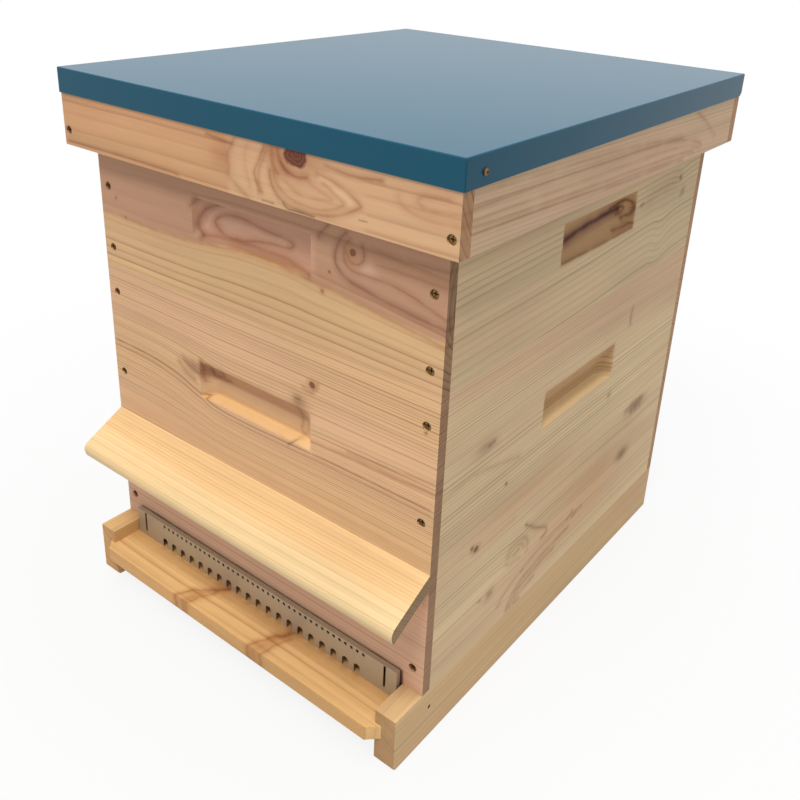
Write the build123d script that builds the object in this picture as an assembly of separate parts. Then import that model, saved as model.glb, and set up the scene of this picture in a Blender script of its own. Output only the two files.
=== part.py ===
from build123d import *
from math import atan2, cos, radians, sin, tan
import os

# A wooden beehive of the ten-frame pattern, in millimetres.
# X runs to the right seen from the front, the entrance faces -Y, Z is up and the ground is Z = 0.

# Boxes: the brood body and the super share one plan
BOX_WIDTH = 430.0
BOX_DEPTH = 500.0
WALL = 25.0
CORNER_LIP = 11.0
BODY_HEIGHT = 310.0
SUPER_HEIGHT = 170.0

# Floor: two rails, a deck let into grooves in them, and the entrance gap above the deck
RAIL_HEIGHT = 60.0
RAIL_WIDTH = 23.0
RAIL_AHEAD = 39.0
RAIL_EASE = 3.0
DECK_THICKNESS = 15.0
DECK_GROOVE = 7.5
DECK_FIT = 0.2
DECK_PLANKS = 3
ENTRANCE_HEIGHT = 15.0
LANDING_AHEAD = 50.0
LANDING_BEHIND = 70.0
NAIL_HEAD = 4.0
NAIL_SHANK = 2.4
NAIL_LENGTH = 45.0
NAIL_BEHIND = 12.5

# Entrance guard, one folded sheet between the rails
GUARD_SHEET = 0.8
GUARD_HEIGHT = 32.0
GUARD_AHEAD = 7.0
GUARD_WALL_GAP = 1.8
GUARD_SIDE_GAP = 1.8
ARCH_WIDTH = 8.0
ARCH_HEIGHT = 12.0
ARCH_PITCH = 15.0
ARCH_END_MARGIN = 46.0
VENT_DIAMETER = 3.8
VENT_BELOW_TOP = 3.8
SLOT_WIDTH = 2.8
SLOT_FROM_END = 14.2
SLOT_ABOVE_DECK = 6.0

# Canopy board over the entrance
CANOPY_THICKNESS = 14.0
CANOPY_AHEAD = 50.5
CANOPY_SLOPE = 28.5
CANOPY_TOP = 137.6
CANOPY_NOSE = 9.0
CANOPY_NOSE_LEAN = 18.0
CANOPY_UNDER_EASE = 2.0

# Hand-holds scooped into the walls
GRIP_WIDTH = 150.0
GRIP_HEIGHT = 40.0
GRIP_DEPTH = 13.0
GRIP_END_RUN = 26.0
GRIP_LEDGE = 1.5
GRIP_SCOOP = 3.5
GRIP_BLEND = 7.0
GRIP_PAST = 5.0
BODY_GRIP_UP = 203.0
SUPER_GRIP_UP = 62.0

# Frames that hang in the boxes by the lugs of their top bars
BROOD_FRAMES = 10
SUPER_FRAMES = 9
FRAME_BAR = 10.0
FRAME_TOP_GAP = 4.0
FRAME_BOTTOM_GAP = 6.0
FRAME_END_GAP = 7.5
TOP_BAR_WIDTH = 26.0
SIDE_BAR_WIDTH = 25.0
BOTTOM_BAR_WIDTH = 20.0
LUG = 10.0
LUG_CLEARANCE = 2.0
SHOULDER_HEIGHT = 70.0
SHOULDER_TAPER = 14.0
SHOULDER_GAP = 0.5
FOUNDATION = 3.0

# Crown board between the super and the roof
CROWN_RIM = 10.0
CROWN_RIM_WIDTH = 25.0
CROWN_PANEL = 10.0

# Roof: four boards, a panel and a sheet with a turned-down skirt
ROOF_GAP = 6.5
ROOF_BOARD = 14.0
ROOF_OVERLAP = 45.0
ROOF_PANEL = 9.0
SHEET = 0.8
SHEET_STANDOFF = 0.7
SHEET_SKIRT = 24.0
SHEET_HEM = 6.0
SHEET_BEND = 1.2
SKIRT_SCREW_IN = 24.5
SKIRT_SCREW_DOWN = 13.7
SKIRT_SCREW_HEAD = 5.6
SKIRT_SCREW_HEAD_HEIGHT = 2.2
SKIRT_SCREW_SHANK = 3.0
SKIRT_SCREW_LENGTH = 14.0
SKIRT_CROSS_LENGTH = 3.2
SKIRT_CROSS_WIDTH = 0.9
SKIRT_CROSS_DEPTH = 1.0
SHEET_TAB = 5.5
SHEET_TAB_THICKNESS = 0.5
SHEET_CLIP = 4.5

# Countersunk cross-head screws that hold the corners
SCREW_HEAD = 8.5
SCREW_HEAD_DEPTH = 4.0
SCREW_SHANK = 4.0
SCREW_LENGTH = 45.0
SCREW_TIP = 5.0
SCREW_SINK = 1.8
SCREW_CLEARANCE = 0.1
CROSS_LENGTH = 4.6
CROSS_WIDTH = 1.1
CROSS_DEPTH = 1.8
BODY_SCREW_FROM_BOTTOM = 26.5
BODY_SCREW_FROM_TOP = 29.5
BODY_SCREW_MIDDLE_FROM_TOP = 123.5
SUPER_SCREW_EDGE = 20.0
ROOF_SCREW_UP = 15.0

# How far a cutter runs past the face that it enters
CUT_PAST = 2.0

# Places worked out from the sizes above
HALF_WIDTH = BOX_WIDTH / 2
INNER_HALF_WIDTH = HALF_WIDTH - WALL
INNER_DEPTH = BOX_DEPTH - 2 * WALL

BODY_LOW = RAIL_HEIGHT
BODY_TOP = BODY_LOW + BODY_HEIGHT
SUPER_TOP = BODY_TOP + SUPER_HEIGHT
CROWN_PANEL_LOW = SUPER_TOP + CROWN_RIM
CROWN_TOP = CROWN_PANEL_LOW + CROWN_PANEL
ROOF_LOW = SUPER_TOP - ROOF_OVERLAP
ROOF_PANEL_TOP = CROWN_TOP + ROOF_PANEL
SHEET_TOP = ROOF_PANEL_TOP + SHEET
SKIRT_LOW = SHEET_TOP - SHEET_SKIRT

ROOF_REACH = ROOF_GAP + ROOF_BOARD
SHEET_REACH = ROOF_REACH + SHEET_STANDOFF + SHEET
FRONT_REACH = max(LANDING_AHEAD, CANOPY_AHEAD, SHEET_REACH)

# The origin is under the middle of the whole hive, so the box stands a little behind or ahead of it
BOX_FRONT = (FRONT_REACH - BOX_DEPTH - SHEET_REACH) / 2
BOX_BACK = BOX_FRONT + BOX_DEPTH
BOX_MIDDLE = (BOX_FRONT + BOX_BACK) / 2

RAIL_INNER = HALF_WIDTH - RAIL_WIDTH
DECK_TOP = RAIL_HEIGHT - ENTRANCE_HEIGHT
DECK_LOW = DECK_TOP - DECK_THICKNESS
DECK_HALF = RAIL_INNER + DECK_GROOVE - DECK_FIT
LANDING_FRONT = BOX_FRONT - LANDING_AHEAD
LANDING_BACK = BOX_FRONT + LANDING_BEHIND

CORNER_SCREW_X = HALF_WIDTH - WALL / 2
REBATE_DEPTH = LUG + LUG_CLEARANCE
REBATE_HEIGHT = FRAME_TOP_GAP + FRAME_BAR

PARTS = {}


def block(x_span, y_span, z_span):
    """Block between two X, two Y and two Z values."""
    centre = [sum(span) / 2 for span in (x_span, y_span, z_span)]
    size = [span[1] - span[0] for span in (x_span, y_span, z_span)]
    return Pos(*centre) * Box(*size)


def prism_along_x(outline, x_span):
    """Straight-sided outline in (y, z), run along X."""
    face = make_face(Polyline(*[(x_span[0], y, z) for y, z in outline], close=True))
    return extrude(face, amount=x_span[1] - x_span[0], dir=(1, 0, 0))


def prism_along_y(outline, y_span):
    """Straight-sided outline in (x, z), run along Y."""
    face = make_face(Polyline(*[(x, y_span[0], z) for x, z in outline], close=True))
    return extrude(face, amount=y_span[1] - y_span[0], dir=(0, 1, 0))


def prism_along_z(outline, z_span):
    """Straight-sided outline in (x, y), run along Z."""
    face = make_face(Polyline(*[(x, y, z_span[0]) for x, y in outline], close=True))
    return extrude(face, amount=z_span[1] - z_span[0], dir=(0, 0, 1))


def spun_about_y(outline):
    """Outline in (radius, y), spun about the Y axis."""
    face = make_face(Polyline(*[(r, y, 0) for r, y in outline], close=True))
    return revolve(face, axis=Axis.Y)


def mirrored(shape):
    """The left-hand copy of a right-hand piece."""
    return mirror(shape, about=Plane.YZ)


def group(solids):
    """Separate solids that share one node."""
    return Compound(children=list(solids))


# Fasteners

def wood_screw():
    """Countersunk screw along +Y with the face of its head at Y = 0."""
    body = spun_about_y([
        (0, 0),
        (SCREW_HEAD / 2, 0),
        (SCREW_SHANK / 2, SCREW_HEAD_DEPTH),
        (SCREW_SHANK / 2, SCREW_LENGTH - SCREW_TIP),
        (0, SCREW_LENGTH),
    ])
    bar = Box(CROSS_LENGTH, 2 * CROSS_DEPTH, CROSS_WIDTH)
    return body - bar - Rot(0, 90, 0) * bar


def wood_screw_hole():
    """The hole that a wood screw sits in, with a little room all round and open past the face."""
    head = SCREW_HEAD / 2 + SCREW_CLEARANCE
    shank = SCREW_SHANK / 2 + SCREW_CLEARANCE
    return spun_about_y([
        (0, -CUT_PAST),
        (head, -CUT_PAST),
        (head, SCREW_SINK),
        (shank, SCREW_SINK + SCREW_HEAD_DEPTH),
        (shank, SCREW_SINK + SCREW_LENGTH),
        (0, SCREW_SINK + SCREW_LENGTH),
    ])


def corner_places(x, front, back, heights):
    """Where the corner screws enter the front face and the back face."""
    places = []
    for side in (-1, 1):
        for z in heights:
            places.append(Pos(side * x, front, z))
            places.append(Pos(side * x, back, z) * Rot(0, 0, 180))
    return places


def with_holes(shape, places):
    """The shape with a screw hole cut at each place."""
    hole = wood_screw_hole()
    return shape - [place * hole for place in places]


def screws_at(places):
    """One screw at each place, sunk just under the face."""
    screw = wood_screw()
    return group(place * Pos(0, SCREW_SINK, 0) * screw for place in places)


# Floor

def nail_places():
    """Where a nail goes through each rail into the end of the landing board."""
    y = BOX_FRONT + NAIL_BEHIND
    z = DECK_LOW + DECK_THICKNESS / 2
    return [Pos(HALF_WIDTH, y, z) * Rot(0, 0, 90), Pos(-HALF_WIDTH, y, z) * Rot(0, 0, -90)]


def nail(clearance):
    """Flat-headed nail along +Y, its head flush with Y = 0, grown by a clearance for its hole."""
    head_depth = NAIL_SHANK / 2
    past = CUT_PAST if clearance else 0.0
    return spun_about_y([
        (0, -past),
        (NAIL_HEAD / 2 + clearance, -past),
        (NAIL_HEAD / 2 + clearance, head_depth + clearance),
        (NAIL_SHANK / 2 + clearance, head_depth + clearance),
        (NAIL_SHANK / 2 + clearance, NAIL_LENGTH + clearance),
        (0, NAIL_LENGTH + clearance),
    ])


def nailed(shape):
    """The shape with the nail holes cut."""
    return shape - [place * nail(SCREW_CLEARANCE) for place in nail_places()]


def right_rail():
    """Rail on edge, grooved along its inner face for the deck, its lower front corner eased."""
    front = BOX_FRONT - RAIL_AHEAD
    side_outline = [
        (front + RAIL_EASE, 0),
        (BOX_BACK, 0),
        (BOX_BACK, RAIL_HEIGHT),
        (front, RAIL_HEIGHT),
        (front, RAIL_EASE),
    ]
    rail = prism_along_x(side_outline, (RAIL_INNER, HALF_WIDTH))
    groove = block(
        (RAIL_INNER - CUT_PAST, RAIL_INNER + DECK_GROOVE),
        (front - CUT_PAST, BOX_BACK + CUT_PAST),
        (DECK_LOW, DECK_TOP),
    )
    return nailed(rail - groove)


def landing_board():
    """Front deck board. It stands out past the rails, with its corners cut off there."""
    rail_front = BOX_FRONT - RAIL_AHEAD
    corner = rail_front - LANDING_FRONT
    outline = [
        (-DECK_HALF, LANDING_BACK),
        (-DECK_HALF, rail_front),
        (corner - DECK_HALF, LANDING_FRONT),
        (DECK_HALF - corner, LANDING_FRONT),
        (DECK_HALF, rail_front),
        (DECK_HALF, LANDING_BACK),
    ]
    return nailed(prism_along_z(outline, (DECK_LOW, DECK_TOP)))


def make_floor():
    """Rails, deck and the bar that closes the back under the body."""
    rail = right_rail()
    PARTS["right_rail"] = rail
    PARTS["left_rail"] = mirrored(rail)
    PARTS["landing_board"] = landing_board()
    plank = (BOX_BACK - LANDING_BACK) / DECK_PLANKS
    for index in range(DECK_PLANKS):
        start = LANDING_BACK + index * plank
        PARTS[f"deck_plank_{index + 1}"] = block(
            (-DECK_HALF, DECK_HALF), (start, start + plank), (DECK_LOW, DECK_TOP)
        )
    PARTS["rear_floor_bar"] = block(
        (-RAIL_INNER, RAIL_INNER), (BOX_BACK - WALL, BOX_BACK), (DECK_TOP, RAIL_HEIGHT)
    )
    PARTS["rail_nails"] = group(place * nail(0.0) for place in nail_places())


# Entrance guard

def arch_cutter(x, y_span):
    """Round-topped passage cut up from the guard's lower edge."""
    radius = ARCH_WIDTH / 2
    spring = DECK_TOP + ARCH_HEIGHT - radius
    legs = block((x - radius, x + radius), y_span, (DECK_TOP - CUT_PAST, spring))
    depth = y_span[1] - y_span[0]
    crown = Pos(x, sum(y_span) / 2, spring) * Rot(90, 0, 0) * Cylinder(radius, depth)
    return legs + crown


def make_guard():
    """Upright sheet with its top and both ends folded back towards the wall."""
    half = RAIL_INNER - GUARD_SIDE_GAP
    front = BOX_FRONT - GUARD_AHEAD
    back = BOX_FRONT - GUARD_WALL_GAP
    top = DECK_TOP + GUARD_HEIGHT
    outside = block((-half, half), (front, back), (DECK_TOP, top))
    inside = block(
        (GUARD_SHEET - half, half - GUARD_SHEET),
        (front + GUARD_SHEET, back + CUT_PAST),
        (DECK_TOP - CUT_PAST, top - GUARD_SHEET),
    )
    through = (front - CUT_PAST, front + GUARD_SHEET + CUT_PAST)
    arches = int((2 * half - 2 * ARCH_END_MARGIN) / ARCH_PITCH) + 1
    first = -(arches - 1) * ARCH_PITCH / 2
    cutters = [arch_cutter(first + index * ARCH_PITCH, through) for index in range(arches)]
    vent = Rot(90, 0, 0) * Cylinder(VENT_DIAMETER / 2, through[1] - through[0])
    vent_z = top - VENT_BELOW_TOP
    for index in range(2 * arches):
        cutters.append(Pos(first + index * ARCH_PITCH / 2, sum(through) / 2, vent_z) * vent)
    for side in (-1, 1):
        x = side * (half - SLOT_FROM_END)
        slot_z = (DECK_TOP + SLOT_ABOVE_DECK, top - GUARD_SHEET)
        cutters.append(block((x - SLOT_WIDTH / 2, x + SLOT_WIDTH / 2), through, slot_z))
    PARTS["entrance_guard"] = outside - inside - cutters


# Boxes

def grip_plan():
    """A hand-hold seen from above, run along Z: its ends sweep out in arcs and on past the face."""
    half = GRIP_WIDTH / 2
    flat = half - GRIP_END_RUN
    floor = GRIP_DEPTH + CUT_PAST
    radius = (GRIP_END_RUN ** 2 + floor ** 2) / (2 * floor)
    turn = atan2(GRIP_END_RUN, radius - floor)
    bend = (flat + radius * sin(turn / 2), floor - radius * (1 - cos(turn / 2)))
    past = half + GRIP_PAST / tan(turn)
    outline = Polyline((half, 0), (past, -GRIP_PAST), (-past, -GRIP_PAST), (-half, 0))
    outline += ThreePointArc((-half, 0), (-bend[0], bend[1]), (-flat, floor))
    outline += Line((-flat, floor), (flat, floor))
    outline += ThreePointArc((flat, floor), bend, (half, 0))
    reach = GRIP_HEIGHT + 2 * GRIP_DEPTH
    return Pos(0, 0, -GRIP_DEPTH) * extrude(make_face(outline), amount=reach, dir=(0, 0, 1))


def grip_cutter(deep_at_top):
    """Hand-hold in a wall that faces -Y at Y = 0, its lower edge at Z = 0 and its creases blended."""
    deep = (GRIP_DEPTH, GRIP_HEIGHT - GRIP_LEDGE)
    steps = (GRIP_DEPTH / 2 + GRIP_SCOOP, GRIP_HEIGHT / 2 - GRIP_SCOOP)
    scoop = ThreePointArc((0, 0, 0), (0, *steps), (0, *deep))
    slope = scoop.tangent_at(0)
    rest = Polyline(
        (0, *deep),
        (0, 0, GRIP_HEIGHT),
        (0, -GRIP_PAST, GRIP_HEIGHT),
        (0, -GRIP_PAST, -GRIP_PAST * slope.Z / slope.Y),
        (0, 0, 0),
    )
    run = extrude(make_face(scoop + rest), amount=GRIP_WIDTH, dir=(1, 0, 0), both=True)
    cutter = run & grip_plan()
    creases = [edge for edge in cutter.edges() if edge.geom_type == GeomType.BSPLINE]
    cutter = fillet(creases, GRIP_BLEND)
    if deep_at_top:
        return cutter
    return Pos(0, 0, GRIP_HEIGHT) * mirror(cutter, about=Plane.XY)


def box_front_wall(low, height, grip, places):
    """Front wall: lapped ends, a rebate for the frame lugs, a hand-hold and screw holes."""
    top = low + height
    wall = block((-HALF_WIDTH, HALF_WIDTH), (BOX_FRONT, BOX_FRONT + WALL), (low, top))
    lap_y = (BOX_FRONT + CORNER_LIP, BOX_FRONT + WALL + CUT_PAST)
    for side in (-1, 1):
        lap_x = sorted((side * INNER_HALF_WIDTH, side * (HALF_WIDTH + CUT_PAST)))
        wall -= block(lap_x, lap_y, (low - CUT_PAST, top + CUT_PAST))
    wall -= block(
        (-INNER_HALF_WIDTH - CUT_PAST, INNER_HALF_WIDTH + CUT_PAST),
        (BOX_FRONT + WALL - REBATE_DEPTH, BOX_FRONT + WALL + CUT_PAST),
        (top - REBATE_HEIGHT, top + CUT_PAST),
    )
    wall -= Pos(0, BOX_FRONT, 0) * grip
    return with_holes(wall, places)


def box_right_wall(low, height, grip, places):
    """Side wall between the lips of the front and back walls."""
    wall = block(
        (INNER_HALF_WIDTH, HALF_WIDTH),
        (BOX_FRONT + CORNER_LIP, BOX_BACK - CORNER_LIP),
        (low, low + height),
    )
    wall -= Pos(HALF_WIDTH, BOX_MIDDLE, 0) * Rot(0, 0, 90) * grip
    return with_holes(wall, places)


def make_box(name, low, height, grip_up, deep_at_top, screw_heights):
    """Four walls and the screws in their corners."""
    grip = Pos(0, 0, low + grip_up) * grip_cutter(deep_at_top)
    heights = [low + up for up in screw_heights]
    places = corner_places(CORNER_SCREW_X, BOX_FRONT, BOX_BACK, heights)
    front = box_front_wall(low, height, grip, places)
    right = box_right_wall(low, height, grip, places)
    PARTS[f"{name}_front_wall"] = front
    PARTS[f"{name}_back_wall"] = Pos(0, 2 * BOX_MIDDLE, 0) * Rot(0, 0, 180) * front
    PARTS[f"{name}_right_wall"] = right
    PARTS[f"{name}_left_wall"] = mirrored(right)
    PARTS[f"{name}_corner_screws"] = screws_at(places)


def make_canopy():
    """Sloped board butted against the front wall, its nose rounded over at the top."""
    slope = radians(CANOPY_SLOPE)
    lean = radians(CANOPY_NOSE_LEAN)
    half_corner = (radians(90) + slope - lean) / 2
    reach = CANOPY_AHEAD + CANOPY_NOSE * (cos(half_corner - slope) / sin(half_corner) - 1)
    top = BODY_LOW + CANOPY_TOP
    nose_y = BOX_FRONT - reach
    nose_z = top - reach * tan(slope)
    nose_length = CANOPY_THICKNESS / sin(2 * half_corner)
    outline = [
        (BOX_FRONT, top),
        (nose_y, nose_z),
        (nose_y + nose_length * sin(lean), nose_z - nose_length * cos(lean)),
        (BOX_FRONT, top - CANOPY_THICKNESS / cos(slope)),
    ]
    board = prism_along_x(outline, (-HALF_WIDTH, HALF_WIDTH))
    under = board.edges().filter_by(Axis.X).sort_by(Axis.Y)[1]
    board = fillet(under, CANOPY_UNDER_EASE)
    nose = board.edges().filter_by(Axis.X).sort_by(Axis.Y)[0]
    PARTS["canopy_board"] = fillet(nose, CANOPY_NOSE)


# Frames

def bee_frame(x, low, height, shoulder):
    """Top bar with lugs, two shouldered side bars and a bottom bar."""
    top = low + height
    bar_low = top - FRAME_BAR
    half_length = INNER_DEPTH / 2 - FRAME_END_GAP
    half_lugs = INNER_DEPTH / 2 + LUG
    narrow = SIDE_BAR_WIDTH / 2
    wide = shoulder / 2
    shoulder_low = bar_low - SHOULDER_HEIGHT
    right_edge = [
        (narrow, low),
        (narrow, shoulder_low - SHOULDER_TAPER),
        (wide, shoulder_low),
        (wide, bar_low),
    ]
    outline = [(x + across, z) for across, z in right_edge]
    outline += [(x - across, z) for across, z in reversed(right_edge)]
    bars = [block(
        (x - TOP_BAR_WIDTH / 2, x + TOP_BAR_WIDTH / 2),
        (BOX_MIDDLE - half_lugs, BOX_MIDDLE + half_lugs),
        (bar_low, top),
    )]
    for side in (-1, 1):
        ends = sorted((side * half_length, side * (half_length - FRAME_BAR)))
        bars.append(prism_along_y(outline, [BOX_MIDDLE + end for end in ends]))
    bars.append(block(
        (x - BOTTOM_BAR_WIDTH / 2, x + BOTTOM_BAR_WIDTH / 2),
        (BOX_MIDDLE - half_length + FRAME_BAR, BOX_MIDDLE + half_length - FRAME_BAR),
        (low, low + FRAME_BAR),
    ))
    return group(bars)


def foundation_sheet(x, low, height):
    """Wax sheet that fills a frame between its bars."""
    half_length = INNER_DEPTH / 2 - FRAME_END_GAP - FRAME_BAR
    return block(
        (x - FOUNDATION / 2, x + FOUNDATION / 2),
        (BOX_MIDDLE - half_length, BOX_MIDDLE + half_length),
        (low + FRAME_BAR, low + height - FRAME_BAR),
    )


def make_frames(name, count, box_low, box_height):
    """A row of frames across the box, spaced by their shoulders."""
    low = box_low + FRAME_BOTTOM_GAP
    height = box_height - FRAME_BOTTOM_GAP - FRAME_TOP_GAP
    pitch = 2 * INNER_HALF_WIDTH / count
    places = [(index - (count - 1) / 2) * pitch for index in range(count)]
    for index, x in enumerate(places):
        PARTS[f"{name}_frame_{index + 1:02d}"] = bee_frame(x, low, height, pitch - SHOULDER_GAP)
    PARTS[f"{name}_foundation"] = group(foundation_sheet(x, low, height) for x in places)


# Crown board

def make_crown():
    """Panel on a rim of battens that stands on the walls of the super."""
    rim_z = (SUPER_TOP, CROWN_PANEL_LOW)
    full_width = (-HALF_WIDTH, HALF_WIDTH)
    PARTS["crown_panel"] = block(full_width, (BOX_FRONT, BOX_BACK), (CROWN_PANEL_LOW, CROWN_TOP))
    PARTS["crown_front_batten"] = block(
        full_width, (BOX_FRONT, BOX_FRONT + CROWN_RIM_WIDTH), rim_z
    )
    PARTS["crown_back_batten"] = block(full_width, (BOX_BACK - CROWN_RIM_WIDTH, BOX_BACK), rim_z)
    side = block(
        (HALF_WIDTH - CROWN_RIM_WIDTH, HALF_WIDTH),
        (BOX_FRONT + CROWN_RIM_WIDTH, BOX_BACK - CROWN_RIM_WIDTH),
        rim_z,
    )
    PARTS["crown_right_batten"] = side
    PARTS["crown_left_batten"] = mirrored(side)


# Roof

def roof_block(reach, z_span):
    """Block that stands out from the box by the same reach on every side."""
    half = HALF_WIDTH + reach
    return block((-half, half), (BOX_FRONT - reach, BOX_BACK + reach), z_span)


def skirt_screw_places():
    """Where a screw goes through the skirt near each front corner, on the left and right sides."""
    x = HALF_WIDTH + SHEET_REACH
    y = BOX_FRONT - SHEET_REACH + SKIRT_SCREW_IN
    z = SHEET_TOP - SKIRT_SCREW_DOWN
    return [Pos(x, y, z) * Rot(0, 0, 90), Pos(-x, y, z) * Rot(0, 0, -90)]


def skirt_screw():
    """Low round-headed screw along +Y, the underside of its head at Y = 0."""
    round_top = SKIRT_SCREW_HEAD_HEIGHT / 2
    body = spun_about_y([
        (0, -SKIRT_SCREW_HEAD_HEIGHT),
        (SKIRT_SCREW_HEAD / 2 - round_top, -SKIRT_SCREW_HEAD_HEIGHT),
        (SKIRT_SCREW_HEAD / 2, -SKIRT_SCREW_HEAD_HEIGHT / 2),
        (SKIRT_SCREW_HEAD / 2, 0),
        (SKIRT_SCREW_SHANK / 2, 0),
        (SKIRT_SCREW_SHANK / 2, SKIRT_SCREW_LENGTH - SCREW_TIP),
        (0, SKIRT_SCREW_LENGTH),
    ])
    bar = Box(SKIRT_CROSS_LENGTH, 2 * SKIRT_CROSS_DEPTH, SKIRT_CROSS_WIDTH)
    bar = Pos(0, -SKIRT_SCREW_HEAD_HEIGHT, 0) * bar
    return body - bar - Rot(0, 90, 0) * bar


def skirt_screwed(shape):
    """The shape with the holes for the skirt screws cut."""
    radius = SKIRT_SCREW_SHANK / 2 + SCREW_CLEARANCE
    length = SKIRT_SCREW_LENGTH + SCREW_CLEARANCE + CUT_PAST
    hole = Pos(0, length / 2 - CUT_PAST, 0) * Rot(90, 0, 0) * Cylinder(radius, length)
    return shape - [place * hole for place in skirt_screw_places()]


def sheet_tab(side):
    """End of the front skirt, bent round the corner on to one side."""
    x = HALF_WIDTH + SHEET_REACH
    y = BOX_FRONT - SHEET_REACH + SHEET_BEND
    across = sorted((side * (x - SHEET), side * (x + SHEET_TAB_THICKNESS)))
    return block(across, (y, y + SHEET_TAB), (SKIRT_LOW, SHEET_TOP - 2 * SHEET_BEND))


def sheet_clip(side):
    """Snip off the lower back corner of one side's skirt."""
    x = HALF_WIDTH + SHEET_REACH
    y = BOX_BACK + SHEET_REACH + CUT_PAST
    z = SKIRT_LOW - CUT_PAST
    size = SHEET_CLIP + 2 * CUT_PAST
    across = sorted((side * (x - SHEET - SHEET_STANDOFF), side * (x + CUT_PAST)))
    return prism_along_x([(y, z), (y, z + size), (y - size, z)], across)


def roof_sheet():
    """Sheet over the panel, its skirt hemmed inwards against the boards."""
    outside = roof_block(SHEET_REACH, (SKIRT_LOW, SHEET_TOP))
    upright = outside.edges().filter_by(Axis.Z)
    rim = outside.faces().sort_by(Axis.Z)[-1].edges()
    outside = fillet(upright + rim, SHEET_BEND)
    over_hem = roof_block(ROOF_REACH + SHEET_STANDOFF, (SKIRT_LOW + SHEET_HEM, ROOF_PANEL_TOP))
    in_hem = roof_block(ROOF_REACH, (SKIRT_LOW - CUT_PAST, ROOF_PANEL_TOP))
    sheet = outside - over_hem - in_hem
    for side in (-1, 1):
        sheet = sheet + sheet_tab(side) - sheet_clip(side)
    return skirt_screwed(sheet)


def make_roof():
    """Boards butted at the corners, the panel on them and the sheet over all."""
    half = HALF_WIDTH + ROOF_REACH
    front = BOX_FRONT - ROOF_REACH
    back = BOX_BACK + ROOF_REACH
    heights = (ROOF_LOW, CROWN_TOP)
    places = corner_places(half - ROOF_BOARD / 2, front, back, [ROOF_LOW + ROOF_SCREW_UP])
    front_board = with_holes(block((-half, half), (front, front + ROOF_BOARD), heights), places)
    side_board = block(
        (half - ROOF_BOARD, half), (front + ROOF_BOARD, back - ROOF_BOARD), heights
    )
    side_board = skirt_screwed(with_holes(side_board, places))
    PARTS["roof_front_board"] = front_board
    PARTS["roof_back_board"] = Pos(0, 2 * BOX_MIDDLE, 0) * Rot(0, 0, 180) * front_board
    PARTS["roof_right_board"] = side_board
    PARTS["roof_left_board"] = mirrored(side_board)
    PARTS["roof_panel"] = roof_block(ROOF_REACH, (CROWN_TOP, ROOF_PANEL_TOP))
    PARTS["roof_sheet"] = roof_sheet()
    PARTS["roof_corner_screws"] = screws_at(places)
    PARTS["roof_skirt_screws"] = group(place * skirt_screw() for place in skirt_screw_places())


# The whole hive, from the ground up
make_floor()
make_guard()
make_box(
    "body", BODY_LOW, BODY_HEIGHT, BODY_GRIP_UP, False,
    (BODY_SCREW_FROM_BOTTOM, BODY_HEIGHT - BODY_SCREW_MIDDLE_FROM_TOP,
     BODY_HEIGHT - BODY_SCREW_FROM_TOP),
)
make_canopy()
make_frames("brood", BROOD_FRAMES, BODY_LOW, BODY_HEIGHT)
make_box(
    "super", BODY_TOP, SUPER_HEIGHT, SUPER_GRIP_UP, True,
    (SUPER_SCREW_EDGE, SUPER_HEIGHT / 2, SUPER_HEIGHT - SUPER_SCREW_EDGE),
)
make_frames("super", SUPER_FRAMES, BODY_TOP, SUPER_HEIGHT)
make_crown()
make_roof()

os.makedirs("parts", exist_ok=True)
for node, shape in PARTS.items():
    export_step(shape, f"parts/{node}.step")
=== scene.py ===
from math import cos, radians, sin

import bpy
from mathutils import Matrix, Vector

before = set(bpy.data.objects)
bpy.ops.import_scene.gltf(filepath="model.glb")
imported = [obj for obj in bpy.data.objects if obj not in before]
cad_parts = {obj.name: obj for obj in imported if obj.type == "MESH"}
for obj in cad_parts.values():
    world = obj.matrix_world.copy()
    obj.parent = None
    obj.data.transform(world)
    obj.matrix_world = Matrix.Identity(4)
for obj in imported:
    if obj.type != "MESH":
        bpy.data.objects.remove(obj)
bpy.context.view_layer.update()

MM = 0.001

# Camera, solved on the corners of the hive in the photograph, in metres
CAMERA_PLACE = (0.56177, -0.75015, 0.71719)
CAMERA_FORWARD = (-0.55681, 0.73285, -0.39102)
CAMERA_UP = (-0.27099, 0.28472, 0.91951)
CAMERA_SENSOR = 36.0
CAMERA_LENS = 40.746
CAMERA_SHIFT = (-0.00124, -0.1272)

# Places on the hive that the wood figure is set out from, in millimetres
FRONT = -235.75
BACK = 264.25
HALF_WIDTH = 215.0
CANOPY_TOP = 197.6
CANOPY_SLOPE = 28.5


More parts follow.
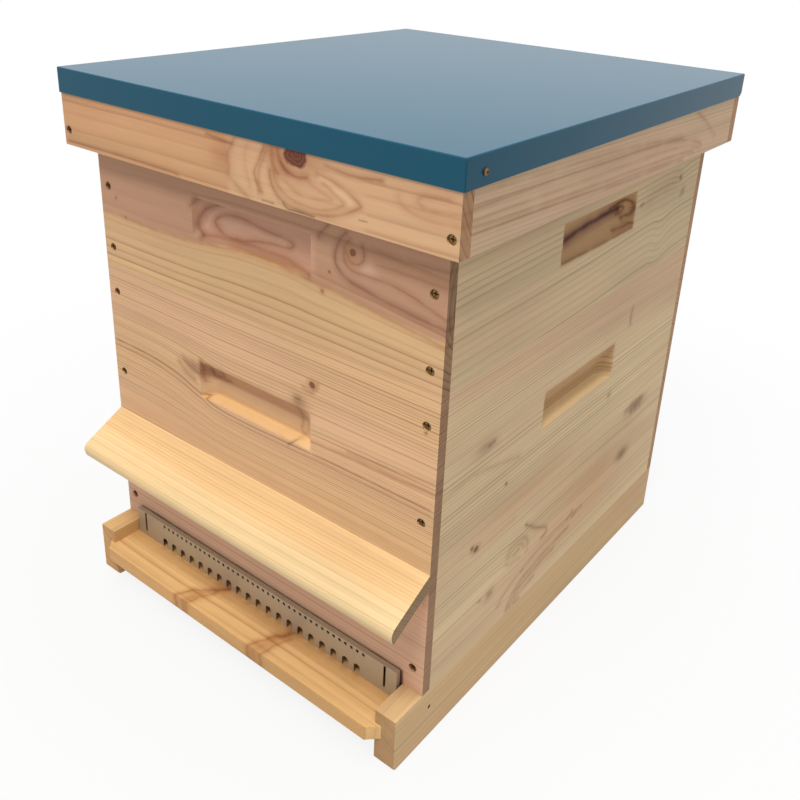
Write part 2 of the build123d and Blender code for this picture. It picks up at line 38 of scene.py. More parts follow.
class Graph:
    """Short calls that add nodes to a material or a node group."""

    def __init__(self, tree):
        self.tree = tree

    def put(self, socket, value):
        if isinstance(value, bpy.types.NodeSocket):
            self.tree.links.new(value, socket)
        else:
            socket.default_value = value

    def node(self, kind, inputs=None, **settings):
        node = self.tree.nodes.new(kind)
        for key, value in settings.items():
            setattr(node, key, value)
        for key, value in (inputs or {}).items():
            self.put(node.inputs[key], value)
        return node

    def group(self, tree, **inputs):
        node = self.node("ShaderNodeGroup", node_tree=tree)
        for key, value in inputs.items():
            self.put(node.inputs[key], value)
        return node.outputs

    def math(self, operation, *values):
        return self.node("ShaderNodeMath", dict(enumerate(values)), operation=operation).outputs[0]

    def total(self, first, *others):
        for other in others:
            first = self.math("ADD", first, other)
        return first

    def product(self, first, *others):
        for other in others:
            first = self.math("MULTIPLY", first, other)
        return first

    def vector(self, operation, *values):
        return self.node("ShaderNodeVectorMath", dict(enumerate(values)), operation=operation).outputs

    def times(self, vector, factors):
        return self.vector("MULTIPLY", vector, factors)["Vector"]

    def plus(self, vector, other):
        return self.vector("ADD", vector, other)["Vector"]

    def split(self, vector):
        return self.node("ShaderNodeSeparateXYZ", {0: vector}).outputs

    def join(self, x, y, z):
        return self.node("ShaderNodeCombineXYZ", {0: x, 1: y, 2: z}).outputs[0]

    def smooth(self, value, low, high, start=0.0, end=1.0):
        ends = {"Value": value, "From Min": low, "From Max": high, "To Min": start, "To Max": end}
        return self.node("ShaderNodeMapRange", ends, interpolation_type="SMOOTHSTEP").outputs[0]

    def mix(self, factor, a, b):
        return self.node("ShaderNodeMix", {0: factor, 2: a, 3: b}, data_type="FLOAT").outputs[0]

    def blend(self, factor, a, b, mode="MIX"):
        sockets = {0: factor, 6: a, 7: b}
        return self.node("ShaderNodeMix", sockets, data_type="RGBA", blend_type=mode).outputs[2]

    def noise(self, vector, scale=1.0, detail=2.0, roughness=0.5):
        inputs = {"Vector": vector, "Scale": scale, "Detail": detail, "Roughness": roughness}
        return self.node("ShaderNodeTexNoise", inputs).outputs

    def random(self, value):
        return self.node("ShaderNodeTexWhiteNoise", {"W": value}, noise_dimensions="1D").outputs[0]

    def centred(self, value, reach):
        """A noise value of 0 to 1 as an amount of minus reach to plus reach."""
        return self.math("MULTIPLY_ADD", value, 2 * reach, -reach)

    def bell(self, value, centre, reach):
        """One at the centre, falling away on both sides."""
        share = self.math("DIVIDE", self.math("SUBTRACT", value, centre), reach)
        return self.math("EXPONENT", self.product(share, share, -1.0))

    def bump(self, strength, depth, height):
        inputs = {"Strength": strength, "Distance": depth, "Height": height}
        return self.node("ShaderNodeBump", inputs).outputs[0]

    def grey(self, value):
        return self.join(value, value, value)

    def surface(self, shader, kind="ShaderNodeOutputMaterial"):
        self.node(kind, {"Surface": shader.outputs[0]})

    def steps(self, value, edges, levels):
        """One level below the first edge, the next above it, and so on."""
        total = levels[0]
        for edge, below, above in zip(edges, levels, levels[1:]):
            if above != below:
                over = self.math("GREATER_THAN", value, edge)
                total = self.math("MULTIPLY_ADD", over, above - below, total)
        return total

    def curve(self, value, points):
        """A smooth curve through points, level past both ends."""
        left, right = points[0][0], points[-1][0]
        low = min(level for _, level in points)
        high = max(level for _, level in points)
        node = self.node("ShaderNodeFloatCurve")
        line = node.mapping.curves[0]
        while len(line.points) < len(points):
            line.points.new(0.5, 0.5)
        wide, tall = right - left, high - low
        for point, (place, level) in zip(line.points, points):
            point.location = ((place - left) / wide, (level - low) / tall)
        node.mapping.update()
        ends = {"Value": value, "From Min": left, "From Max": right, "To Min": 0.0, "To Max": 1.0}
        self.put(node.inputs["Value"], self.node("ShaderNodeMapRange", ends).outputs[0])
        return self.math("MULTIPLY_ADD", node.outputs[0], tall, low)


def colour(red, green, blue):
    """A screen colour of 0 to 255 as the linear colour that a shader takes."""
    linear = []
    for level in (red / 255, green / 255, blue / 255):
        linear.append(level / 12.92 if level <= 0.04045 else ((level + 0.055) / 1.055) ** 2.4)
    return (*linear, 1.0)


SOCKETS = {"v": "NodeSocketVector", "f": "NodeSocketFloat"}


def new_group(name, inputs, outputs):
    """An empty node group with its sockets; each is a name and a letter for its kind."""
    tree = bpy.data.node_groups.new(name, "ShaderNodeTree")
    for label, kind in inputs:
        tree.interface.new_socket(label, in_out="INPUT", socket_type=SOCKETS[kind])
    for label, kind in outputs:
        tree.interface.new_socket(label, in_out="OUTPUT", socket_type=SOCKETS[kind])
    graph = Graph(tree)
    return graph, graph.node("NodeGroupInput").outputs, graph.node("NodeGroupOutput").inputs


# Noise per metre along U, V, W that bends the rings, how far the quick one does, and noise per year
RING_SLOW_NOISE = (2.4, 6.0, 6.0)
RING_QUICK_NOISE = (12.0, 70.0, 70.0)
RING_QUICK_REACH = 0.6 * MM
RING_SEED_STEP = 3.7
RING_YEAR_NOISE = 0.21

# Where in a year's share of 0 to 1 the late wood rises slowly, then quickly, and ends
RING_SLOW_RISE = (0.20, 0.95)
RING_QUICK_RISE = (0.66, 0.92)
RING_END = (1.0, 0.94)
RING_SLOW_SHARE = 0.3
RING_FAINTEST = 0.18
RING_STRENGTH_POWER = 1.4


def rings_group():
    """Growth rings round a pith along U, in a board's own U, V, W metres.

    The pith leans by the two tilts and wanders by the sway.
    """
    g, given, result = new_group(
        "growth_rings",
        [("Place", "v"), ("PithV", "f"), ("PithW", "f"), ("TiltV", "f"), ("TiltW", "f"),
         ("Spacing", "f"), ("Sway", "f"), ("Lift", "f"), ("Seed", "f"), ("Jitter", "f")],
        [("Ring", "f"), ("Shade", "f")],
    )
    u, v, w = g.split(given["Place"])
    seed = g.join(g.product(given["Seed"], RING_SEED_STEP), given["Seed"], 0.0)
    slow = g.split(g.noise(g.plus(g.times(given["Place"], RING_SLOW_NOISE), seed), 1.0, 1.0)[1])
    quick = g.split(g.noise(g.plus(g.times(given["Place"], RING_QUICK_NOISE), seed))[1])
    double = g.product(given["Sway"], 2.0)
    squares = []
    for index, (axis, letter) in enumerate(((v, "V"), (w, "W"))):
        pith = g.math("MULTIPLY_ADD", u, given["Tilt" + letter], given["Pith" + letter])
        swayed = g.math("MULTIPLY_ADD", g.math("SUBTRACT", slow[index], 0.5), double, axis)
        ragged = g.total(swayed, g.centred(quick[index], RING_QUICK_REACH))
        offset = g.math("SUBTRACT", ragged, pith)
        squares.append(g.product(offset, offset))
    radius = g.total(g.math("SQRT", g.total(*squares)), given["Lift"])
    years = g.math("DIVIDE", radius, given["Spacing"])
    slow_years = g.product(years, RING_YEAR_NOISE)
    uneven = g.noise(g.join(slow_years, given["Seed"], 0.0))[0]
    jitter = g.product(given["Jitter"], 2.0)
    count = g.math("MULTIPLY_ADD", g.math("SUBTRACT", uneven, 0.5), jitter, years)
    part = g.math("FRACT", count)
    year = g.total(g.math("FLOOR", count), given["Seed"])
    rise = g.smooth(part, *RING_SLOW_RISE, 0.0, RING_SLOW_SHARE)
    late = g.math("MULTIPLY_ADD", g.smooth(part, *RING_QUICK_RISE), 1.0 - RING_SLOW_SHARE, rise)
    band = g.product(late, g.smooth(part, *RING_END))
    chance = g.math("POWER", g.random(year), RING_STRENGTH_POWER)
    strength = g.math("MULTIPLY_ADD", chance, 1.0 - RING_FAINTEST, RING_FAINTEST)
    g.put(result["Ring"], g.product(band, strength))
    g.put(result["Shade"], g.random(g.total(year, 0.5)))
    return g.tree


# A knot's outline: noise per metre, its share of the radius, and the shares of the radius at which the
# core and the halo round it start and are full
KNOT_NOISE = (60.0, 90.0, 20.0)
KNOT_WOBBLE = 0.9
KNOT_CORE = (1.15, 0.80)
KNOT_HALO = (3.0, 0.9)
KNOT_RINGS = 3.6
KNOT_RING_RISE = (0.2, 0.95)


def knot_group():
    """A knot that goes through a board at U, V: how it lifts the rings round it, and its own figure."""
    g, given, result = new_group(
        "knot",
        [("Place", "v"), ("U", "f"), ("V", "f"), ("Radius", "f"), ("Stretch", "f"), ("Reach", "f")],
        [("Lift", "f"), ("Core", "f"), ("Halo", "f"), ("Rings", "f")],
    )
    rough = g.split(g.noise(g.times(given["Place"], KNOT_NOISE))[1])
    u, v, _ = g.split(given["Place"])
    wobble = g.product(given["Radius"], KNOT_WOBBLE)
    across = g.math("SUBTRACT", v, given["V"])
    along = g.math("SUBTRACT", u, given["U"])
    across = g.math("MULTIPLY_ADD", g.math("SUBTRACT", rough[1], 0.5), wobble, across)
    along = g.math("MULTIPLY_ADD", g.math("SUBTRACT", rough[0], 0.5), wobble, along)
    along = g.math("DIVIDE", along, given["Stretch"])
    squares = [g.product(length, length) for length in (across, along)]
    away = g.math("SQRT", g.total(*squares))
    g.put(result["Lift"], g.bell(away, 0.0, given["Reach"]))
    share = g.math("DIVIDE", away, given["Radius"])
    g.put(result["Core"], g.smooth(share, *KNOT_CORE))
    g.put(result["Halo"], g.smooth(share, *KNOT_HALO))
    part = g.math("FRACT", g.product(share, KNOT_RINGS))
    g.put(result["Rings"], g.smooth(part, *KNOT_RING_RISE))
    return g.tree


def segment_group():
    """Distance in a board's face to one straight piece of a stroke."""
    g, given, result = new_group(
        "segment", [("Place", "v"), ("Start", "v"), ("Along", "v"), ("Step", "v")], [("Distance", "f")],
    )
    offset = g.vector("SUBTRACT", given["Place"], given["Start"])["Vector"]
    share = g.vector("DOT_PRODUCT", offset, given["Along"])["Value"]
    share = g.math("MINIMUM", g.math("MAXIMUM", share, 0.0), 1.0)
    scaled = {0: given["Step"], "Scale": share}
    nearest = g.node("ShaderNodeVectorMath", scaled, operation="SCALE").outputs["Vector"]
    g.put(result["Distance"], g.vector("DISTANCE", offset, nearest)["Value"])
    return g.tree


RINGS = rings_group()
KNOT = knot_group()
SEGMENT = segment_group()

# How X, Y and Z of the hive become U along the grain, V across the board and W through it
GRAIN_ORDER = {"front": (0, 2, 1), "side": (1, 2, 0), "flat": (0, 1, 2), "flat_deep": (1, 0, 2)}


def board_places(g, grain):
    """The board's own U, V, W and how much its surface faces along the grain."""
    source = g.node("ShaderNodeTexCoord").outputs
    place, normal = source["Object"], source["Normal"]
    if grain == "canopy":
        slope = radians(CANOPY_SLOPE)
        x, y, z = g.split(place)
        facing = g.split(normal)[0]
        level = g.math("SUBTRACT", y, FRONT * MM)
        height = g.math("SUBTRACT", z, CANOPY_TOP * MM)
        v = g.math("MULTIPLY_ADD", level, cos(slope), g.product(height, sin(slope)))
        w = g.math("MULTIPLY_ADD", height, cos(slope), g.product(level, -sin(slope)))
        return g.join(x, v, w), g.math("ABSOLUTE", facing)
    order = GRAIN_ORDER[grain]
    parts = g.split(place)
    facing = g.split(normal)[order[0]]
    return g.join(*[parts[axis] for axis in order]), g.math("ABSOLUTE", facing)


# Wood looks in screen colours: early wood, late wood, heartwood, knot and the halo round it
WOODS = {
    "wall": ((212, 174, 128), (158, 108, 68), (186, 142, 114), (84, 50, 36), (176, 116, 76)),
    "body": ((214, 174, 130), (160, 110, 72), (206, 164, 138), (78, 50, 38), (172, 116, 78)),
    "pale": ((208, 182, 142), (158, 128, 88), (204, 166, 132), (92, 62, 44), (172, 130, 90)),
    "rose": ((202, 172, 138), (160, 122, 92), (196, 154, 128), (104, 72, 52), (172, 130, 96)),
    "canopy": ((222, 195, 148), (203, 154, 98), (228, 188, 136), (142, 92, 54), (206, 152, 92)),
    "floor": ((227, 186, 128), (182, 132, 80), (208, 158, 106), (120, 72, 38), (184, 126, 70)),
    "rail": ((203, 170, 124), (160, 118, 74), (200, 154, 116), (110, 76, 48), (180, 136, 90)),
    "roof": ((204, 164, 124), (160, 110, 76), (196, 148, 116), (72, 34, 26), (146, 80, 52)),
    "frame": ((226, 196, 148), (196, 156, 104), (220, 182, 136), (140, 92, 56), (196, 150, 100)),
}


# Tints that strokes and patches multiply the wood by
UMBER = (186, 150, 122)
PLUM = (178, 150, 146)
RUST = (200, 158, 132)
INK = (112, 90, 76)
STONE = (168, 158, 146)
COCOA = (146, 96, 84)

# Pale tints that strokes lay over the wood
CREAM = (236, 204, 160)
BLUSH = (218, 180, 154)
PALE_TINTS = (CREAM, BLUSH)

# What end grain is multiplied by, so that it is warmer than the face
END_TINT = (245, 232, 222)


def plank(pith, spacing, tone=0.0):
    """One board of a wall: V and W of its pith, the ring spacing, and how much lighter it is."""
    return {"pith": pith, "spacing": spacing, "tone": tone}


def knot(place, radius, dark, reach=0.0, rise=0.0, stretch=1.0, halo=1.0):
    """A knot at U, V; its reach and rise say how far and how much the rings go round it."""
    return {"place": place, "radius": radius, "dark": dark, "reach": reach or 2 * radius, "rise": rise,
            "stretch": stretch, "halo": halo}


def heartwood(edge, slope=0.0, soft=10.0, strength=0.8, drift=8.0):
    """Heartwood above the line V = edge + slope * U, or below it where soft is negative."""
    return {"edge": edge, "slope": slope, "soft": soft, "strength": strength, "drift": drift}


def line(points, width, dark):
    """A dark line in the face through points U, V that runs one way along U."""
    return {"points": points, "width": width, "dark": dark}


def rounded(points):
    """The points with one more between each two, so that the line through them bends smoothly."""
    padded = [points[0], *points, points[-1]]
    smooth = []
    for before, start, stop, after in zip(padded, padded[1:], padded[2:], padded[3:]):
        middle = [(9 * (b + c) - a - d) / 16 for a, b, c, d in zip(before, start, stop, after)]
        smooth += [start, tuple(middle)]
    return smooth + [points[-1]]


# A line of grain: how many of its widths the core and the shoulder reach, and how strong they are
LINE_CORE_REACH = 1.1
LINE_CORE_STRENGTH = 0.45
LINE_SHOULDER_REACH = 3.2
LINE_SHOULDER_STRENGTH = 0.5

# Noise per metre along U and V that fades a stroke, and its lowest strength
STROKE_FADE_NOISE = (45.0, 60.0, 0.0)
STROKE_FADE_RISE = (0.2, 0.6)
STROKE_FAINTEST = 0.5


def shouldered(g, distance, width):
    """The profile of a line of grain: a thin core with a wide soft shoulder."""
    core = g.smooth(distance, LINE_CORE_REACH * width, 0.0, 0.0, LINE_CORE_STRENGTH)
    shoulder = g.smooth(distance, LINE_SHOULDER_REACH * width, 0.0, 0.0, LINE_SHOULDER_STRENGTH)
    return g.total(core, shoulder)


def draw_stroke(g, base, flat, row, seed):
    """A soft line in the face that may turn back on itself, and fades in and out along its length."""
    width, strength, tint, *points = row
    corners = [Vector((a * MM, b * MM, 0.0)) for a, b in rounded(points)]
    distance = None
    for start, stop in zip(corners, corners[1:]):
        step = stop - start
        along = step / step.length_squared
        out = g.group(SEGMENT, Place=flat, Start=start, Along=along, Step=step)["Distance"]
        distance = out if distance is None else g.math("MINIMUM", distance, out)
    inked = shouldered(g, distance, width * MM)
    fade = g.noise(g.plus(g.times(flat, STROKE_FADE_NOISE), (seed, 0.0, 0.0)))[0]
    fade = g.smooth(fade, *STROKE_FADE_RISE, STROKE_FAINTEST, 1.0)
    mode = "MIX" if tint in PALE_TINTS else "MULTIPLY"
    return g.blend(g.product(inked, fade, strength), base, colour(*tint), mode)


def within(g, place, spans, soft):
    """One between two U and two V, in millimetres, falling to nought across soft edges."""
    inside = 1.0
    for value, (low, high) in zip(g.split(place), spans):
        for edge, side in ((low, soft), (high, -soft)):
            step = g.smooth(value, (edge - side) * MM, (edge + side) * MM)
            inside = g.product(step, inside)
    return inside


def calm_share(g, place, zones):
    """How much of the ring figure stays: less inside each zone, which has U and V limits."""
    share = 1.0
    for u_low, u_high, v_low, v_high, left, soft in zones:
        inside = within(g, place, ((u_low, u_high), (v_low, v_high)), soft)
        share = g.product(g.math("MULTIPLY_ADD", inside, left - 1.0, 1.0), share)
    return share


def patch(u_span, v_span, tint, strength, soft=3.0, mode="MULTIPLY", plain=False):
    """A patch of another tone between two U and two V, with straight edges where plain."""
    return {"spans": (u_span, v_span), "tint": tint, "strength": strength, "soft": soft, "mode": mode,
            "plain": plain}


def stain(place, reach, tint, strength, mode="MULTIPLY"):
    """An oval patch of another tone at U, V that fades out to its reach along U and V."""
    return {"place": place, "reach": reach, "tint": tint, "strength": strength, "mode": mode,
            "plain": False}


# What share of its reach a stain's bell is wide
STAIN_BELL = 0.6


def draw_patch(g, base, place, spec):
    """A patch or stain over the base colour."""
    if "spans" in spec:
        inside = within(g, place, spec["spans"], spec["soft"])
    else:
        inside = 1.0
        for value, middle, reach in zip(g.split(place), spec["place"], spec["reach"]):
            inside = g.product(g.bell(value, middle * MM, STAIN_BELL * reach * MM), inside)
    inside = g.product(inside, spec["strength"])
    return g.blend(inside, base, colour(*spec["tint"]), spec["mode"])


def bent_place(g, place, bends):
    """The board's U, V, W with V moved by curves along U, each within reach of its centre."""
    u, v, w = g.split(place)
    moved = v
    for points, centre, reach in bends:
        shift = g.curve(u, [(a * MM, b * MM) for a, b in points])
        near = g.bell(v, centre * MM, reach * MM)
        moved = g.math("MULTIPLY_ADD", shift, near, moved)
    return g.join(u, moved, w)


# Noise per metre along U that ripples and fades a thin line, how far it ripples and how its ends fade
LINE_RIPPLE_NOISE = 22.0
LINE_RIPPLE_REACH = 0.9 * MM
LINE_FADE_NOISE = 30.0
LINE_FADE_RISE = (0.25, 0.6)
LINE_FAINTEST = 0.45
LINE_END = 8 * MM


def draw_line(g, base, place, spec, seed):
    """A thin dark line over the base colour."""
    u, v, _ = g.split(place)
    points = spec["points"]
    if len({level for _, level in points}) == 1:
        level = points[0][1] * MM
    else:
        level = g.curve(u, [(a * MM, b * MM) for a, b in points])
    ripple = g.noise(g.join(g.product(u, LINE_RIPPLE_NOISE), seed, spec["width"]), 1.0, 3.0)[0]
    fade = g.noise(g.join(g.product(u, LINE_FADE_NOISE), spec["width"], seed))[0]
    off = g.total(g.math("SUBTRACT", v, level), g.centred(ripple, LINE_RIPPLE_REACH))
    inked = shouldered(g, g.math("ABSOLUTE", off), spec["width"] * MM)
    start, stop = points[0][0] * MM, points[-1][0] * MM
    ends = [g.smooth(u, start, start + LINE_END), g.smooth(u, stop, stop - LINE_END)]
    fade = g.smooth(fade, *LINE_FADE_RISE, LINE_FAINTEST, 1.0)
    inked = g.product(inked, *ends, fade, spec["dark"])
    return g.blend(inked, base, colour(*UMBER), "MULTIPLY")


# Noise per metre along U, V, W that makes planed wood uneven, and how much lighter or darker it does
STRIPE_NOISE = (1.3, 38.0, 38.0)
STRIPE_DEPTH = 0.13
STREAK_NOISE = (4.0, 150.0, 150.0)
STREAK_DEPTH = 0.11
CLOUD_NOISE = (5.0, 11.0, 11.0)
CLOUD_DEPTH = 0.10
FIBRE_NOISE = (34.0, 1000.0, 1000.0)
FIBRE_DEPTH = 0.10
YEAR_DEPTH = 0.035

# Noise per metre that drifts the heartwood's edge, turns wood pink in places and makes strokes ragged
HEART_NOISE = (7.0, 16.0, 16.0)
PINK_NOISE = (3.0, 14.0, 14.0)
PINK_RISE = (0.4, 0.75)
PINK_DEPTH = 0.30
RAGGED_NOISE = (55.0, 85.0, 85.0)
RAGGED_STRETCH = 1.5

# How squarely a surface faces along the grain where it starts to be end grain, and where it is
END_FACING = (0.90, 0.99)
END_HEARTWOOD = 0.2

# Knots: how much of the halo, of the rings and of the plain dark core shows
HALO_SHARE = 0.5
KNOT_RING_SHARE = 0.75
KNOT_DARK_SHARE = 0.55

# The glue line between two planks: where it starts, where it is darkest, and how dark
SEAM_REACH = (0.6 * MM, 0.1 * MM)
SEAM_DARK = 0.22

# How far apart the seeds of planks and of strokes in one board are
PLANK_SEED_STEP = 1.37
STROKE_SEED_STEP = 0.3

# Gloss and relief of planed wood
WOOD_ROUGHNESS = 0.50
FIBRE_ROUGHNESS = 0.20
RING_ROUGHNESS = 0.10
WOOD_SPECULAR = 0.25
WOOD_RELIEF = 0.35
WOOD_RELIEF_DEPTH = 0.25 * MM


def new_material(name):
    """An empty node material and the graph to fill it with."""
    material = bpy.data.materials.new(name)
    material.use_nodes = True
    material.node_tree.nodes.clear()
    return material, Graph(material.node_tree)


def in_heartwood(g, place, bent_v, heart):
    """How much of a place is heartwood."""
    u = g.split(place)[0]
    over = g.math("MULTIPLY_ADD", u, -heart["slope"], bent_v)
    drift = g.noise(g.times(place, HEART_NOISE))[0]
    over = g.total(over, g.centred(drift, heart["drift"] * MM))
    low, high = (heart["edge"] - heart["soft"]) * MM, (heart["edge"] + heart["soft"]) * MM
    return g.smooth(over, low, high, 0.0, heart["strength"])


def wood(name, grain, look="wall", planks=(plank((0, 60), 5.0),), edges=(), knots=(), heart=None,
         sway=3.0, contrast=1.0, seed=0.0, lines=(), strokes=(), patches=(), bends=(), calm=(),
         tone=1.0, tilt=(0.0, 0.0), uneven=1.0, ends=0.74, end_rings=1.7, jitter=1.3, wobble=1.2):
    """Planed boards as solid wood, with lengths in millimetres.

    planks: the boards of a wall that is glued up from several, with edges at V between them.
    bends: curves along U that the rings follow, each with its V and its reach.
    calm: zones with fainter rings, each with its U and V limits, the share left and the soft edge.
    ends: how bright the end grain is beside the face, and end_rings how strong its rings are.
    """
    material, g = new_material(name)
    early, late, pink, dark, amber = [colour(*c) for c in WOODS[look]]
    place, endgrain = board_places(g, grain)
    ringed = bent_place(g, place, bends) if bends else place
    u, v, _ = g.split(place)
    borders = [edge * MM for edge in edges]
    pith_v = g.steps(v, borders, [p["pith"][0] * MM for p in planks])
    pith_w = g.steps(v, borders, [p["pith"][1] * MM for p in planks])
    spacing = g.steps(v, borders, [p["spacing"] * MM for p in planks])
    lightness = g.steps(v, borders, [p["tone"] for p in planks])
    plank_seed = g.steps(v, borders, [seed + PLANK_SEED_STEP * index for index in range(len(planks))])

    lift = 0.0
    cores = []
    for k in knots:
        knot_u, knot_v = k["place"]
        out = g.group(KNOT, Place=place, U=knot_u * MM, V=knot_v * MM, Radius=k["radius"] * MM,
                      Stretch=k["stretch"], Reach=k["reach"] * MM)
        if k["rise"]:
            lift = g.math("MULTIPLY_ADD", out["Lift"], k["rise"] * MM, lift)
        if k["dark"]:
            cores.append((out, k["dark"], k["halo"]))

    rings = g.group(RINGS, Place=ringed, PithV=pith_v, PithW=pith_w, TiltV=tilt[0], TiltW=tilt[1],
                    Spacing=spacing, Sway=sway * MM, Lift=lift, Seed=plank_seed, Jitter=jitter)
    ring = g.product(rings["Ring"], calm_share(g, place, calm)) if calm else rings["Ring"]

    end = g.smooth(endgrain, *END_FACING)
    amount = g.product(ring, g.mix(end, contrast, end_rings))
    base = g.blend(amount, early, late)
    if heart:
        inside = in_heartwood(g, place, g.split(ringed)[1], heart)
        inside = g.product(inside, g.mix(end, 1.0, END_HEARTWOOD))
        base = g.blend(inside, base, g.blend(amount, pink, late))

    stripes = g.noise(g.plus(g.times(ringed, STRIPE_NOISE), (seed, 0.0, seed)))[0]
    streaks = g.noise(g.plus(g.times(ringed, STREAK_NOISE), (seed, 0.0, seed)))[0]
    clouds = g.noise(g.plus(g.times(place, CLOUD_NOISE), (0.0, seed, 2.0)))[0]
    fibre = g.noise(g.times(place, FIBRE_NOISE), 1.0, 2.0, 0.6)[0]
    pinkish = g.noise(g.plus(g.times(place, PINK_NOISE), (seed, 5.0, 1.0)))[0]
    pinkish = g.product(g.smooth(pinkish, *PINK_RISE), PINK_DEPTH * uneven)
    base = g.blend(pinkish, base, pink)
    value = g.total(
        g.centred(stripes, STRIPE_DEPTH * uneven), g.centred(clouds, CLOUD_DEPTH * uneven),
        g.centred(streaks, STREAK_DEPTH), g.centred(fibre, FIBRE_DEPTH),
        g.centred(rings["Shade"], YEAR_DEPTH), lightness, tone,
    )
    value = g.product(value, g.mix(end, 1.0, ends))
    base = g.blend(1.0, base, g.grey(value), "MULTIPLY")
    base = g.blend(end, base, colour(*END_TINT), "MULTIPLY")

    if strokes or patches:
        ragged = g.split(g.noise(g.times(place, RAGGED_NOISE))[1])
        ragged_u = g.total(u, g.centred(ragged[0], RAGGED_STRETCH * wobble * MM))
        ragged_v = g.total(v, g.centred(ragged[1], wobble * MM))
        flat = g.join(ragged_u, ragged_v, 0.0)
        for spec in patches:
            base = draw_patch(g, base, place if spec["plain"] else flat, spec)
        for index, row in enumerate(strokes):
            base = draw_stroke(g, base, flat, row, seed + STROKE_SEED_STEP * index)
    for out, darkness, halo in cores:
        base = g.blend(g.product(out["Halo"], HALO_SHARE * darkness * halo), base, amber)
        figure = g.blend(g.product(out["Rings"], KNOT_RING_SHARE), amber, dark)
        figure = g.blend(KNOT_DARK_SHARE, figure, dark)
        base = g.blend(g.product(out["Core"], darkness), base, figure)
    for index, spec in enumerate(lines):
        base = draw_line(g, base, ringed, spec, seed + index)
    for border in borders:
        away = g.math("ABSOLUTE", g.math("SUBTRACT", v, border))
        base = g.blend(g.smooth(away, *SEAM_REACH, 0.0, SEAM_DARK), base, dark)

    relief = g.product(g.total(ring, fibre), 0.5)
    bump = g.bump(WOOD_RELIEF, WOOD_RELIEF_DEPTH, relief)
    roughness = g.math("MULTIPLY_ADD", fibre, FIBRE_ROUGHNESS, WOOD_ROUGHNESS)
    roughness = g.math("SUBTRACT", roughness, g.product(ring, RING_ROUGHNESS))
    shader = g.node("ShaderNodeBsdfPrincipled", {
        "Base Color": base, "Roughness": roughness, "Specular IOR Level": WOOD_SPECULAR, "Normal": bump,
    })
    g.surface(shader)
    return material


# Where between two cells of wax the wall starts and is full, as shares of a cell, and how light it is
CELL_WALL = (0.36, 0.52)
CELL_WALL_DEPTH = 0.14

# Shares of the unevenness that the fine and the broad mottling have in colour and in gloss
FINE_COLOUR = 0.6
FINE_GLOSS = 0.5
BROAD_GLOSS = 0.3
BROAD_TIMES_FINE = 24
FINISH_RELIEF_DEPTH = 0.2 * MM


def cell_walls(g, place, width):
    """One on the walls of a sheet of six-sided cells in the Y, Z plane, nought inside them."""
    _, y, z = g.split(place)
    nearest = None
    for shift in (0.0, 0.5):
        along = g.math("FRACT", g.math("MULTIPLY_ADD", y, 1 / width, shift))
        up = g.math("FRACT", g.math("MULTIPLY_ADD", z, 1 / (width * 3 ** 0.5), shift))
        offset = g.times(g.plus(g.join(along, up, 0.0), (-0.5, -0.5, 0.0)), (1.0, 3 ** 0.5, 0.0))
        away = g.vector("LENGTH", offset)["Value"]
        nearest = away if nearest is None else g.math("MINIMUM", nearest, away)
    return g.smooth(nearest, *CELL_WALL)


def finish_material(name, base, roughness, metallic=0.0, grain=220.0, uneven=0.10, relief=0.05,
                    specular=0.5, sheen_tint=(255, 255, 255), cells=0.0):
    """Metal, paint or wax with fine mottling in its colour, gloss and surface."""
    material, g = new_material(name)
    place = g.node("ShaderNodeTexCoord").outputs["Object"]
    fine = g.noise(place, grain, 3.0, 0.6)[0]
    broad = g.noise(place, grain / BROAD_TIMES_FINE)[0]
    value = g.total(g.centred(fine, FINE_COLOUR * uneven), g.centred(broad, uneven), 1.0)
    if cells:
        walls = cell_walls(g, place, cells * MM)
        value = g.total(value, g.centred(walls, CELL_WALL_DEPTH))
        fine = g.total(fine, walls)
    shade = g.blend(1.0, colour(*base), g.grey(value), "MULTIPLY")
    gloss = g.total(
        g.centred(fine, FINE_GLOSS * uneven), g.centred(broad, BROAD_GLOSS * uneven), roughness,
    )
    bump = g.bump(relief, FINISH_RELIEF_DEPTH, fine)
    shader = g.node("ShaderNodeBsdfPrincipled", {
        "Base Color": shade, "Roughness": gloss, "Metallic": metallic, "Specular IOR Level": specular,
        "Specular Tint": colour(*sheen_tint), "Normal": bump,
    })
    g.surface(shader)
    return material


def dress(node, material):
    """A CAD node shown with this material alone."""
    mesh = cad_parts[node].data
    mesh.materials.clear()
    mesh.materials.append(material)


def board(node, *kind, **figure):
    """A CAD board shown as wood of its own."""
    dress(node, wood(node, *kind, **figure))


# Curves along U that the rings follow on the front of the body and on the front and right of the super
BODY_DIP = [
    (-215, 0), (-163, 0.5), (-127, 4), (-77, 16), (-30, 26), (36, 24.5), (93, 21.7), (215, 20.3),
]
SUPER_RISE = [
    (-215, 0), (-100, 0.5), (-60, -2), (0, -7), (40, -7), (80, -3), (130, 2), (180, 8), (215, 13),
]
SUPER_RIPPLE = [(105, 0), (140, 1), (158, 7), (168, 8), (180, 5), (202, 0)]

